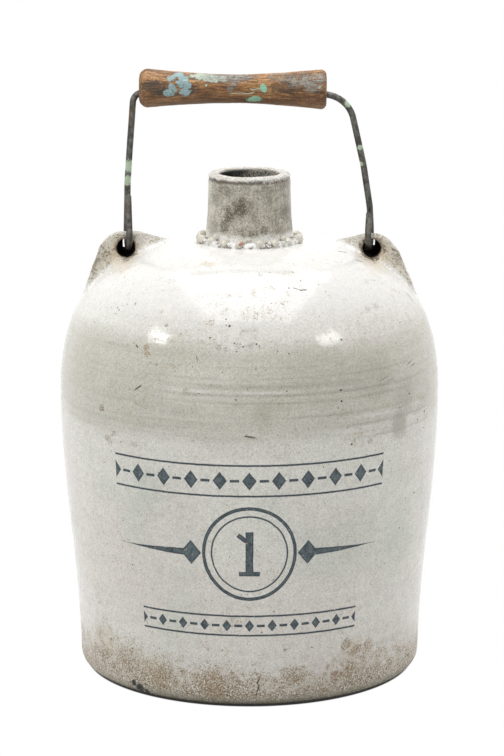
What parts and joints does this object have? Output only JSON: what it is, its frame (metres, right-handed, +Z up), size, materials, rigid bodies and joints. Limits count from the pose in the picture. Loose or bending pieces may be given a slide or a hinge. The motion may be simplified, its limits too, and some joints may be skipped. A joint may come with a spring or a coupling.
{
  "type": "stoneware jug",
  "caption": "Stoneware jug with a domed shoulder, a short wide neck and two pierced ears that carry a swinging wire bail with a turned wooden grip.",
  "frame": {"origin": "middle of the foot, on the surface that the jug stands on", "axes": "+Z up along the jug's axis; the front faces -Y; the ears and the bail's hinge line lie along X"},
  "size_m": [0.186, 0.186, 0.2942],
  "materials": {
    "body_glaze": "grey-white salt glaze, gloss, speckled",
    "neck_glaze": "grey glaze, satin, stained",
    "ear_glaze": "grey glaze, satin, stained round the hole",
    "bail_iron": "dark oxidised iron wire, satin",
    "grip_wood": "worn turned wood with paint splashes"
  },
  "bodies": {
    "jug": {"lower_body": "body_glaze", "shoulder": "body_glaze", "neck": "neck_glaze", "luting_bead": "neck_glaze", "ear_left": "ear_glaze", "ear_right": "ear_glaze"},
    "bail": {"bail_wire": "bail_iron"},
    "grip": {"grip": "grip_wood"}
  },
  "joints": [
    {"name": "bail_swing", "type": "hinge", "parent": "jug", "child": "bail", "pos_m": [0, 0, 0.2138], "axis": [1, 0, 0], "range_deg": [-96, 96]},
    {"name": "grip_spin", "type": "hinge", "parent": "bail", "child": "grip", "pos_m": [-0.00805, 0, 0.2844], "axis": [1, 0, -0.0079], "continuous": true}
  ]
}
